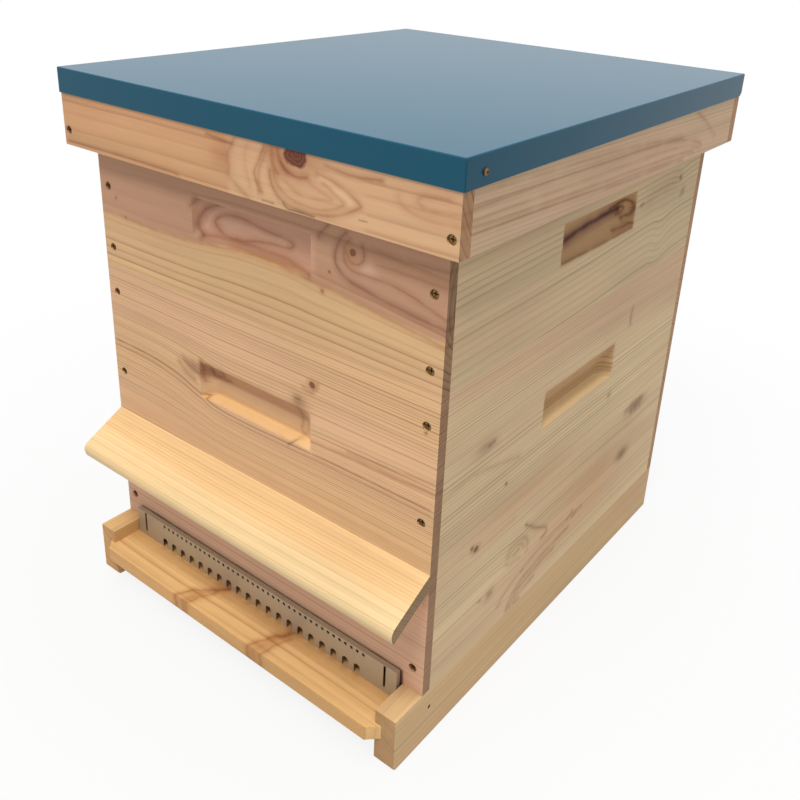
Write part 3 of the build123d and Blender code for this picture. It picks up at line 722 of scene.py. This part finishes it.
# Strokes on each board: width, strength, tint and then the points U, V
SUPER_FRONT_STROKES = [
    (3.2, 0.32, BLUSH, (-42, 450), (-15, 452), (12, 451.5), (34, 451)),
    (2.2, 0.30, BLUSH, (-64, 443), (-63, 452), (-54, 460), (-34, 465)),
    (2.2, 0.7, PLUM, (-64, 436), (-71, 440), (-72, 448), (-70.5, 454), (-66.5, 459.5), (-57, 464),
     (-46, 468)),
    (2.0, 0.62, PLUM, (-77, 462), (-73, 467), (-68, 472)),
    (2.0, 0.62, UMBER, (-55.5, 450), (-52, 454), (-42, 458.5), (-28, 460), (-10, 458.5), (7, 456),
     (28, 455), (40, 454), (45, 451.5), (42, 448.5), (30, 447.5), (12, 446.5), (-1, 444.5), (-8, 443),
     (-19.5, 441.5), (-31.5, 441), (-44, 443.5), (-53, 447), (-55.5, 450)),
    (2.6, 0.62, UMBER, (-64, 436), (-46, 438.5), (-17, 440), (34, 440), (55, 438), (72, 434.5)),
    (2.0, 0.55, UMBER, (-216, 427), (-150, 426), (-100, 426), (-60, 429), (-20, 433), (20, 434.5),
     (50, 433.5), (80, 430), (130, 425), (180, 419), (216, 414)),
    (2.2, 0.74, PLUM, (113, 482), (106, 473), (102, 464), (103, 455), (109, 447), (120, 441.5),
     (140, 437.5), (175, 433), (216, 428)),
    (2.0, 0.62, UMBER, (118, 477), (112, 470), (111, 462), (115, 455), (123, 451.5), (135, 451.5),
     (160, 451), (185, 446), (205, 440), (216, 437)),
    (1.8, 0.62, UMBER, (131, 476), (133, 468), (130, 461), (124, 458), (117, 460), (114, 466)),
    (2.0, 0.39, UMBER, (140, 476), (170, 474), (216, 476)),
    (2.0, 0.39, UMBER, (145, 463), (180, 463.5), (216, 462)),
    (1.8, 0.7, PLUM, (84, 472), (88, 477), (94, 485)),
]

BODY_FRONT_STROKES = [
    (1.4, 0.56, UMBER, (74, 273.5), (110, 275.5), (160, 277.5), (216, 280)),
    (1.6, 0.38, UMBER, (120, 281), (160, 284), (216, 290)),
    (1.6, 0.41, PLUM, (57, 293), (54.5, 280), (52, 271), (56, 266.5)),
    (1.4, 0.3, PLUM, (63, 290), (62, 280), (60, 271)),
    (1.0, 0.58, INK, (47, 258.5), (53, 263)),
    (1.8, 0.38, CREAM, (62, 264), (70, 262), (76, 261)),
    (2.6, 0.68, STONE, (57, 311), (61, 311.5)),
    (1.8, 0.52, UMBER, (66, 326), (76, 324), (84, 336)),
    (2.4, 0.6, PLUM, (-106, 292), (-97, 284), (-84, 279)),
    (2.4, 0.6, PLUM, (-99, 298), (-90, 291), (-78, 288)),
    (2.2, 0.68, PLUM, (-73, 303), (-73, 293), (-73.5, 287), (-71.5, 280)),
    (2.0, 0.68, PLUM, (-60, 301), (-64, 292), (-63.5, 285.5), (-55, 288.5)),
    (2.0, 0.68, PLUM, (-44, 301), (-48, 293.5), (-48.5, 287), (-40, 290)),
    (0.8, 0.58, INK, (122, 196), (126, 198), (130, 196.5)),
]

ROOF_FRONT_STROKES = [
    (2.6, 0.42, UMBER, (9, 543), (4, 535), (-1, 527), (1, 519), (0, 511), (6, 507), (14, 502),
     (25, 495)),
    (1.5, 0.64, UMBER, (43, 543), (40, 535), (33, 525), (31, 518), (34, 511), (37, 504)),
    (1.8, 0.51, UMBER, (47, 543), (43, 533), (37, 524), (36, 514), (40, 504)),
    (2.4, 0.21, UMBER, (24, 540), (20, 530), (22, 518), (26, 506)),
    (4.0, 0.77, RUST, (51, 545), (52, 536), (54, 529), (58, 524)),
    (2.4, 0.68, RUST, (58, 545), (60, 537), (64, 530), (70, 526)),
    (2.0, 0.81, UMBER, (62, 534), (67, 529), (74, 526), (83, 525), (90, 526.5)),
    (2.0, 0.64, UMBER, (49, 524), (51, 514), (56, 507), (64, 502), (76, 499), (95, 498.5), (115, 501),
     (130, 506), (141, 512), (145, 516), (138, 521), (128, 525), (116, 529), (101, 532)),
    (2.0, 0.47, UMBER, (54, 524), (57, 515), (64, 509), (78, 504.5), (95, 503), (112, 505), (124, 510),
     (128, 514), (120, 519), (108, 525)),
    (2.0, 0.34, UMBER, (66, 519), (76, 513), (92, 510), (108, 512), (116, 514.5), (106, 518),
     (94, 522)),
    (2.6, 0.34, CREAM, (105, 529), (120, 523), (135, 517.5)),
    (0.7, 0.65, INK, (40, 498), (53, 497.5)),
    (0.9, 0.69, INK, (65, 500.5), (70, 496.5), (86, 497), (97, 496)),
    (1.7, 0.72, UMBER, (110, 539.5), (125, 538), (142, 537.5), (165, 539)),
    (1.7, 0.68, UMBER, (-25, 541), (-10, 539.5), (6, 538)),
    (0.5, 0.65, INK, (144, 505), (151, 505)),
    (2.6, 0.42, RUST, (236, 529), (210, 527), (197, 530), (203, 536), (225, 538)),
    (2.4, 0.38, RUST, (236, 520), (205, 519), (185, 524), (180, 531)),
]

ROOF_RIGHT_LINES = [
    line([(-262, 542), (-100, 537), (0, 533), (80, 527), (140, 521)], 2.4, 0.36),
    line([(-262, 530.5), (0, 527), (100, 522.5), (150, 517), (185, 508), (196, 500)], 2.0, 0.45),
    line([(-262, 522.5), (-60, 519), (40, 517), (130, 513), (170, 507), (190, 500)], 1.8, 0.39),
    line([(-262, 517.5), (-40, 510), (60, 508), (140, 505), (175, 498)], 2.0, 0.43),
    line([(-262, 512), (-80, 507), (0, 502), (100, 500), (150, 497)], 2.2, 0.43),
    line([(158, 544), (180, 536), (200, 526), (215, 516), (232, 508)], 2.2, 0.49),
]

SUPER_RIGHT_STROKES = [
    (3.6, 1.0, COCOA, (-40, 448.5), (-18, 451), (4, 452.6), (25, 453.6), (56, 454.5), (74, 454)),
    (2.6, 1.0, COCOA, (-36, 449), (-18, 451), (4, 452.6), (25, 453.6), (50, 454.4), (72, 454)),
    (2.0, 0.95, COCOA, (56, 457), (74, 459), (81, 462), (85, 462), (87.6, 459), (88.5, 455),
     (87.6, 450), (84.5, 446), (75, 444.5)),
    (1.1, 0.8, COCOA, (69, 455), (78.5, 455.5), (81, 453), (77, 450), (66, 450)),
    (1.8, 0.9, UMBER, (50, 438), (74, 437), (89, 438)),
    (1.5, 0.8, UMBER, (-58, 433), (30, 432.6), (89, 433)),
    (7.0, 0.35, RUST, (118, 455), (150, 459), (188, 462)),
    (1.8, 0.9, UMBER, (102, 453), (108, 454)),
    (3.4, 0.7, STONE, (212, 445), (216, 447)),
]

BODY_RIGHT_STROKES = [
    (2.4, 0.49, UMBER, (-103, 136), (-98, 142), (-88, 145), (-76, 144), (-67, 139), (-62, 131),
     (-62, 121)),
    (2.0, 0.45, UMBER, (-98, 132), (-92, 137), (-82, 138.5), (-73, 135), (-70, 128)),
    (2.0, 0.41, UMBER, (-104, 127), (-95, 122), (-84, 123), (-76, 120)),
    (1.3, 0.58, INK, (-90, 130), (-79, 132)),
    (2.0, 0.68, UMBER, (-69, 156), (-60, 149), (-45, 139), (-30, 131.5), (-22, 126), (-24, 120),
     (-32, 118)),
    (0.9, 0.58, INK, (-70, 157), (-66, 154)),
    (2.4, 0.56, UMBER, (-92, 58), (-91, 68), (-84, 77), (-70, 84), (-50, 89), (-20, 93), (30, 96)),
    (2.2, 0.56, UMBER, (-87, 58), (-85, 67), (-78, 73), (-65, 78), (-45, 82), (0, 86)),
    (2.0, 0.56, UMBER, (-81, 58), (-78, 65), (-71, 69), (-60, 71), (-40, 73)),
    (1.4, 0.58, INK, (-76, 61), (-68, 62)),
    (2.4, 0.38, UMBER, (-112, 80), (-95, 92), (-70, 98), (-40, 104), (0, 108), (60, 109)),
    (0.7, 0.58, INK, (-70, 97), (-65, 98)),
    (1.2, 0.64, INK, (26, 109), (31, 112), (37, 115)),
    (2.0, 0.52, UMBER, (38, 106), (44, 108)),
    (1.6, 0.58, INK, (-156, 290), (-147, 291)),
    (2.6, 0.52, PLUM, (148, 193), (160, 196), (174, 197), (194, 194)),
    (2.2, 0.6, PLUM, (166, 195), (163, 188), (168, 183)),
    (2.2, 0.52, PLUM, (177, 195), (174, 189), (178, 183)),
    (2.2, 0.45, PLUM, (188, 194), (186, 188), (190, 184)),
    (2.8, 0.68, STONE, (90, 238), (94, 238)),
    (2.8, 0.6, STONE, (122, 315), (121, 323), (123, 332)),
    (4.2, 0.75, STONE, (-133, 109), (-129, 109)),
    (1.7, 0.68, UMBER, (-151, 112), (-147, 111)),
    (2.4, 0.3, (226, 170, 150), (-158, 177), (-130, 178), (-96, 178.5)),
    (2.6, 0.38, UMBER, (-222, 267), (-180, 270), (-140, 262), (-100, 252)),
]

LANDING_STROKES = [
    (6.0, 0.6, RUST, (-40, -240), (-48, -254), (-56, -268), (-62, -288)),
    (2.2, 0.7, UMBER, (-38, -240), (-46, -252), (-58, -262), (-70, -276), (-74, -288)),
    (2.0, 0.55, UMBER, (-44, -256), (-52, -272), (-56, -288)),
    (6.0, 0.6, RUST, (59, -240), (54, -254), (50, -268), (45, -288)),
    (2.2, 0.7, UMBER, (62, -240), (55, -252), (47, -262), (40, -276), (37, -288)),
    (2.0, 0.55, UMBER, (63, -252), (57, -268), (55, -288)),
    (2.6, 0.2, UMBER, (-196, -267), (-130, -268), (-60, -270), (0, -264), (60, -265), (130, -267),
     (196, -270)),
    (2.6, 0.18, UMBER, (-196, -254), (-120, -255), (-50, -253), (20, -252), (110, -254), (196, -257)),
    (2.4, 0.18, UMBER, (-196, -280), (-120, -281), (-60, -283), (20, -279), (110, -279), (196, -281)),
]

# Walls, roof and floor boards, each with its own figure
board(
    "super_front_wall", "front", planks=[plank((455, FRONT + 60), 6.4)], seed=1.0, sway=1.2, jitter=0.5,
    contrast=0.82, bends=[(SUPER_RISE, 436, 34)], heart=heartwood(428, 0.0, 2.0, 0.9, 1.5),
    ends=0.49, tone=0.93,
    calm=[(-75, 75, 433, 473, 0.2, 2.0), (-230, -75, 432, 500, 0.4, 3.0)],
    knots=[
        knot((121, 467), 3.4, 0.95), knot((-177, 428), 1.5, 0.6, stretch=0.7),
        knot((-191, 445), 1.5, 0.6), knot((96, 444), 1.5, 0.7), knot((88, 425), 2.2, 0.5),
    ],
    strokes=SUPER_FRONT_STROKES,
    patches=[
        patch((-30, 74), (433, 440), (230, 204, 170), 0.4, 5.0),
        # Painted light: the hand-hold recess is mixed toward a paler pink to lift the shade inside it
        patch((-74, 80), (437, 474), (222, 172, 148), 0.3, 5.0, "MIX"),
        stain((137, 456), (18, 10), BLUSH, 0.5, "MIX"),
    ],
)
board(
    "super_right_wall", "side", "pale", planks=[plank((300, HALF_WIDTH - 60), 6.2)], seed=4.0, sway=4.0,
    contrast=1.1, uneven=1.3, tone=0.92, tilt=(0.035, 0.0), bends=[(SUPER_RIPPLE, 398, 30)],
    knots=[knot((202, 464), 2.8, 0.75, reach=16, rise=4, stretch=1.3)],
    calm=[(-60, 90, 433, 473, 0.4, 2.0)], wobble=0.4,
    strokes=SUPER_RIGHT_STROKES,
    # Painted shade: the hand-hold recess is darkened all over
    patches=[patch((-60, 89), (433, 472), (228, 196, 160), 0.7, 1.5)],
)
board(
    "body_front_wall", "front", "body", edges=[176], seed=7.0, sway=2.0, contrast=1.12, ends=0.49,
    planks=[plank((-30, FRONT + 45), 4.2, 0.05), plank((-120, FRONT + 60), 2.9)],
    heart=heartwood(182, 0.0, -6, 0.85, 3), bends=[(BODY_DIP, 266, 42)],
    calm=[(-75, 75, 262, 303, 0.35, 2.0), (-230, 230, 50, 176, 0.55, 3.0)],
    knots=[knot((77, 332), 3.4, 0.97), knot((202, 334), 1.4, 0.6)],
    lines=[
        line([(-216, 282.8), (216, 282.8)], 0.9, 0.75),
        line([(-216, 277.5), (216, 277.5)], 0.7, 0.6),
    ],
    strokes=BODY_FRONT_STROKES,
    patches=[
        # Painted shade: the downward-facing upper part of the hand-hold recess is darkened
        patch((-76, 62), (284, 304), (206, 184, 178), 0.8, 4.0),
        # Painted highlight: the upward-facing ledge at the bottom of the hand-hold is mixed brighter
        patch((-75, 75), (263.0, 266.5), (240, 200, 140), 0.6, 0.6, "MIX", plain=True),
        # Painted shade: the wall strip behind the entrance guard is darkened so the vent holes look
        # dark
        patch((-192, 192), (57, 76), (116, 98, 86), 0.9, 1.5),
        stain((-84, 294), (22, 14), PLUM, 0.55),
        stain((-58, 293), (24, 14), PLUM, 0.5),
        stain((62, 304), (18, 20), STONE, 0.6),
        stain((165, 279), (120, 10), UMBER, 0.22),
    ],
)
board(
    "body_right_wall", "side", "pale", edges=[286], seed=11.0, sway=5.0, contrast=1.05, uneven=1.5,
    planks=[plank((-60, HALF_WIDTH - 60), 4.6), plank((120, HALF_WIDTH - 40), 3.4)],
    heart=heartwood(330, -0.10, 22, 0.75), tone=1.03,
    knots=[
        knot((-170, 187), 2.4, 0.9), knot((-163, 182), 3.2, 0.97, reach=14, rise=3, stretch=1.2),
        knot((-119, 231), 1.8, 0.9), knot((-83, 134), 3.0, 0.0, reach=20, rise=5, stretch=1.6),
        knot((165, 190), 3.0, 0.0, reach=20, rise=5, stretch=1.6),
    ],
    strokes=BODY_RIGHT_STROKES,
    patches=[
        # Painted shade: the upper part of the hand-hold recess is darkened
        patch((-60, 89), (268, 304), (222, 194, 166), 0.8, 2.0),
        # Painted highlight: the upward-facing ledge at the bottom of the hand-hold is mixed brighter
        patch((-60, 89), (263.0, 266.5), (236, 200, 146), 0.5, 0.6, "MIX", plain=True),
        stain((-160, 291), (30, 12), PLUM, 0.55),
        stain((176, 190), (40, 14), PLUM, 0.8),
        stain((156, 132), (26, 14), STONE, 0.9),
        stain((60, 130), (190, 80), (240, 214, 196), 0.6),
        stain((-80, 200), (160, 26), (232, 206, 186), 0.5),
    ],
)
board(
    "roof_front_board", "front", "roof", planks=[plank((610, FRONT + 150), 6.0)], seed=15.0, sway=2.0,
    contrast=0.85, heart=heartwood(528, 0.02, 24, 0.4), knots=[knot((79, 545), 13.0, 0.97, halo=0.7)],
    strokes=ROOF_FRONT_STROKES, calm=[(0, 150, 494, 548, 0.3, 5.0)],
    lines=[line([(-236, 499), (-150, 499.5), (-60, 497)], 1.6, 0.5)],
    patches=[patch((-240, 0), (490, 550), (248, 238, 228), 0.9, 4.0),
             stain((-8, 525), (22, 18), (214, 184, 164), 0.5)],
)
board(
    "roof_right_board", "side", "rose", planks=[plank((360, HALF_WIDTH + 14), 4.6)], seed=19.0,
    tilt=(-0.03, 0.0), contrast=0.85, uneven=1.3, lines=ROOF_RIGHT_LINES,
)
board(
    "canopy_board", "canopy", "canopy", planks=[plank((-190, -60), 3.4)], seed=23.0, sway=7.0,
    heart=heartwood(-32, 0.0, 8), uneven=1.2, ends=0.40,
    # Painted light and shade on the rounded nose: an even pale tone laid over its grain
    patches=[patch((-240, 240), (-100, -66), (214, 193, 154), 0.55, 6.0, "MIX")],
)
board(
    "landing_board", "flat", "floor", planks=[plank((-150, 20), 7.0)], seed=27.0, sway=8.0,
    contrast=0.55, uneven=1.5, wobble=2.5, strokes=LANDING_STROKES,
    patches=[
        # Painted shade: the landing is darker from just in front of the entrance guard to inside the
        # hive
        patch((-240, 240), (-254, -200), (214, 198, 184), 0.7, 8.0),
        patch((-240, 240), (-292, -284.6), (222, 208, 196), 0.85, 0.8, plain=True),
    ],
)
board(
    "right_rail", "side", "rail", planks=[plank((-45, HALF_WIDTH - 60), 4.6)], seed=31.0, sway=4.0,
    contrast=0.6, ends=0.78, end_rings=0.7, uneven=1.3,
)
board(
    "left_rail", "side", "floor", planks=[plank((70, -HALF_WIDTH + 20), 5.0)], seed=33.0, sway=5.0,
    contrast=0.5, ends=0.86,
)
board(
    "super_left_wall", "side", "pale", planks=[plank((440, -HALF_WIDTH + 110), 3.8)], seed=37.0,
    tilt=(0.03, 0.05), knots=[knot((-60, 500), 4.0, 0.8, reach=22, rise=8, stretch=1.2)],
)
board(
    "super_back_wall", "front", planks=[plank((470, BACK - 120), 3.6)], seed=41.0,
    heart=heartwood(430, 0.05, 12), tilt=(0.05, 0.0),
    knots=[knot((-90, 420), 4.5, 0.8, reach=22, rise=8, stretch=1.2)],
)
board(
    "body_left_wall", "side", "pale", edges=[250], seed=45.0, sway=5.0,
    planks=[plank((120, -HALF_WIDTH + 90), 4.2), plank((60, -HALF_WIDTH + 60), 3.6, -0.02)],
    knots=[
        knot((110, 170), 4.5, 0.8, reach=20, rise=7, stretch=1.3),
        knot((-120, 320), 3.5, 0.7, reach=18, rise=6),
    ],
)
board(
    "body_back_wall", "front", edges=[228], seed=49.0, heart=heartwood(140, 0.0, -20, 0.7),
    planks=[plank((110, BACK - 90), 4.0), plank((40, BACK - 60), 3.2, 0.02)],
    knots=[
        knot((60, 150), 5.0, 0.8, reach=24, rise=9, stretch=1.2),
        knot((-140, 310), 3.5, 0.7, reach=16, rise=5),
    ],
)
board(
    "roof_back_board", "front", "roof", planks=[plank((505, BACK + 50), 5.0)], seed=57.0,
    knots=[knot((40, 530), 5.0, 0.8, reach=24, rise=10, stretch=1.1)],
)

# Plain boards: grain, look, the one plank and the seed
PLAIN_BOARDS = {
    "roof_left_board": ("side", "roof", plank((560, -HALF_WIDTH - 50), 5.0), 53.0),
    "deck_plank_1": ("flat", "floor", plank((-90, -20), 5.0), 61.0),
    "deck_plank_2": ("flat", "floor", plank((40, 90), 5.0), 63.0),
    "deck_plank_3": ("flat", "floor", plank((190, -20), 5.0), 65.0),
    "rear_floor_bar": ("flat", "floor", plank((250, 10), 4.0), 67.0),
    "crown_panel": ("flat", "frame", plank((0, 480), 6.0), 71.0),
    "crown_front_batten": ("flat", "frame", plank((-225, 600), 4.0), 73.0),
    "crown_back_batten": ("flat", "frame", plank((250, 500), 4.0), 74.0),
    "crown_left_batten": ("flat_deep", "frame", plank((-200, 500), 4.0), 75.0),
    "crown_right_batten": ("flat_deep", "frame", plank((200, 600), 4.0), 76.0),
    "roof_panel": ("flat", "frame", plank((0, 480), 6.0, -0.1), 79.0),
}

for node, (grain, look, only, seed) in PLAIN_BOARDS.items():
    board(node, grain, look, [only], seed=seed)

FRAME_WOOD = wood("frame_bars", "flat_deep", "frame", [plank((400, 300), 3.6)], seed=83.0, contrast=0.6)
WAX = finish_material("wax", (222, 168, 66), 0.45, grain=160.0, uneven=0.08, relief=0.5, cells=5.4)
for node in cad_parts:
    if node.endswith("_foundation"):
        dress(node, WAX)
    elif "_frame_" in node:
        dress(node, FRAME_WOOD)

PAINT = finish_material("blue_paint", (30, 77, 98), 0.24, grain=900.0, uneven=0.025, relief=0.04,
                        specular=0.11, sheen_tint=(226, 255, 250))
GALVANISED = finish_material("galvanised", (180, 168, 148), 0.42, 0.55, grain=240.0, uneven=0.08)
ZINC = finish_material("yellow_zinc", (128, 102, 64), 0.30, 1.0, grain=900.0, uneven=0.15)
NAIL = finish_material("nail_steel", (46, 37, 30), 0.60, 0.5, grain=900.0, uneven=0.15)
dress("roof_sheet", PAINT)
dress("entrance_guard", GALVANISED)
dress("rail_nails", NAIL)
for node in ("body_corner_screws", "super_corner_screws", "roof_corner_screws", "roof_skirt_screws"):
    dress(node, ZINC)


# Stage, light and camera, in metres
WHITE = (1.0, 1.0, 1.0)
FLOOR_GREY = (0.62, 0.62, 0.62, 1.0)
FLOOR_REACH = 30.0
FLOOR_SHADE = (0.40, 1.10)
FLOOR_WHITE_NEAR = 0.87
WORLD_TINT = (0.95, 0.98, 1.0, 1.0)
WORLD_STRENGTH = 0.58
CAMERA_NEAREST = 0.01
LAMP_TARGET = (0.0, 0.0, 0.3)

# Lamps: place, width, watts and tint
LAMPS = {
    "key": ((0.32, -1.45, 2.5), 1.0, 42.0, (1.0, 0.96, 0.90)),
    "overhead": ((0.2, 0.2, 2.6), 1.8, 44.0, WHITE),
}


def seen_directly(g):
    """One for what the camera, the gloss and the glass see, nought for light on the hive."""
    rays = g.node("ShaderNodeLightPath").outputs
    seen = g.math("MAXIMUM", rays["Is Camera Ray"], rays["Is Glossy Ray"])
    return g.math("MAXIMUM", seen, rays["Is Transmission Ray"])


def backdrop_material():
    """White floor that keeps the shadow at the foot of the hive and is plain white further out."""
    material, g = new_material("floor_white")
    place = g.node("ShaderNodeTexCoord").outputs["Object"]
    away = g.vector("LENGTH", place)["Value"]
    white = g.smooth(away, *FLOOR_SHADE, FLOOR_WHITE_NEAR, 1.0)
    lit = g.node("ShaderNodeBsdfDiffuse", {"Color": FLOOR_GREY})
    glow = g.node("ShaderNodeEmission", {"Color": (*WHITE, 1.0), "Strength": 1.0})
    share = g.product(seen_directly(g), white)
    g.surface(g.node("ShaderNodeMixShader", {0: share, 1: lit.outputs[0], 2: glow.outputs[0]}))
    return material


def make_floor():
    mesh = bpy.data.meshes.new("studio_floor")
    corners = [(x * FLOOR_REACH, y * FLOOR_REACH, 0) for x, y in ((-1, -1), (1, -1), (1, 1), (-1, 1))]
    mesh.from_pydata(corners, [], [(0, 1, 2, 3)])
    floor = bpy.data.objects.new("studio_floor", mesh)
    bpy.context.scene.collection.objects.link(floor)
    mesh.materials.append(backdrop_material())


def make_world():
    """Even studio light, with a white background for what the camera and the gloss see."""
    world = bpy.data.worlds.new("studio")
    bpy.context.scene.world = world
    world.use_nodes = True
    world.node_tree.nodes.clear()
    g = Graph(world.node_tree)
    light = g.node("ShaderNodeBackground", {"Color": WORLD_TINT, "Strength": WORLD_STRENGTH})
    white = g.node("ShaderNodeBackground", {"Color": (*WHITE, 1.0), "Strength": 1.0})
    seen = seen_directly(g)
    both = g.node("ShaderNodeMixShader", {0: seen, 1: light.outputs[0], 2: white.outputs[0]})
    g.surface(both, "ShaderNodeOutputWorld")


def look_at(place, target, up=(0, 0, 1)):
    """A placing that looks from one point to another."""
    back = (Vector(place) - Vector(target)).normalized()
    right = Vector(up).cross(back).normalized()
    above = back.cross(right)
    turn = Matrix((right, above, back)).transposed().to_4x4()
    return Matrix.Translation(Vector(place)) @ turn


def area_light(name, place, size, watts, tint):
    lamp = bpy.data.lights.new(name, "AREA")
    lamp.shape = "RECTANGLE"
    lamp.size = lamp.size_y = size
    lamp.energy = watts
    lamp.color = tint
    thing = bpy.data.objects.new(name, lamp)
    thing.matrix_world = look_at(place, LAMP_TARGET)
    thing.visible_camera = False
    bpy.context.scene.collection.objects.link(thing)


def make_camera():
    lens = bpy.data.cameras.new("photo_camera")
    lens.sensor_fit = "HORIZONTAL"
    lens.sensor_width = CAMERA_SENSOR
    lens.lens = CAMERA_LENS
    lens.shift_x, lens.shift_y = CAMERA_SHIFT
    lens.clip_start = CAMERA_NEAREST
    camera = bpy.data.objects.new("photo_camera", lens)
    place = Vector(CAMERA_PLACE)
    camera.matrix_world = look_at(place, place + Vector(CAMERA_FORWARD), CAMERA_UP)
    bpy.context.scene.collection.objects.link(camera)
    bpy.context.scene.camera = camera


make_floor()
make_world()
for name, lamp in LAMPS.items():
    area_light(name, *lamp)
make_camera()
bpy.context.scene.view_settings.view_transform = "Standard"
